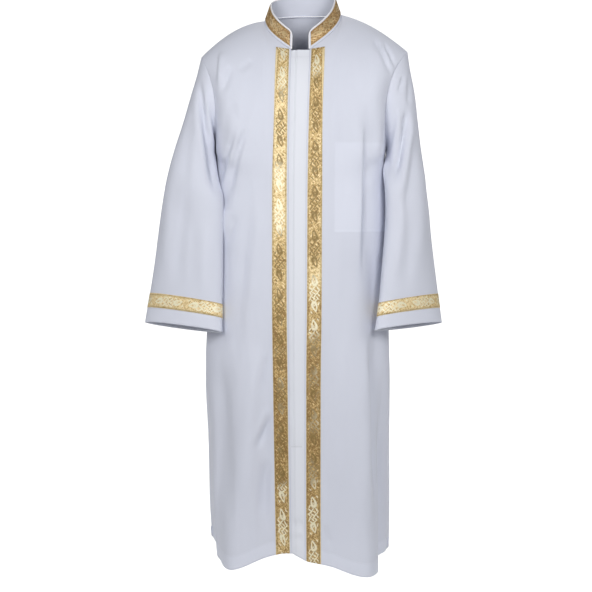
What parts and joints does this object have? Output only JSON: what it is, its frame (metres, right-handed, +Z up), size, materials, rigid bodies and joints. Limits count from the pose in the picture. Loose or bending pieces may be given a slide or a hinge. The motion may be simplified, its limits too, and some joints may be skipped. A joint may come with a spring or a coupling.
{
  "type": "imam robe",
  "caption": "Long white imam robe with long widening sleeves, a gold-braided stand collar, gold braid along both front edges and round the cuffs, and a plain placket.",
  "frame": {"origin": "the middle of the neck, level with the mean height of the points where the shoulder seams start", "axes": "+Z up, the front faces -Y, and the wearer's left is at +X"},
  "size_m": [0.7627, 0.3332, 1.4662],
  "materials": {
    "white_cloth": "smooth plain-woven white cloth with a faint sheen",
    "placket_cloth": "smooth plain-woven white cloth, a little lighter",
    "pocket_cloth": "thin white pocket cloth",
    "gold_braid": "woven gold braid with a raised leaf pattern and metallic sheen",
    "piping_cloth": "satin white piping"
  },
  "bodies": {
    "root": {"front_right": "white_cloth", "front_left": "white_cloth", "back": "white_cloth", "sleeve_right": "white_cloth", "sleeve_left": "white_cloth", "collar": "white_cloth", "placket": "placket_cloth", "pocket_bag": "pocket_cloth", "collar_band": "gold_braid", "band_right": "gold_braid", "band_left": "gold_braid", "cuff_band_right": "gold_braid", "cuff_band_left": "gold_braid", "collar_piping": "piping_cloth"}
  },
  "joints": []
}
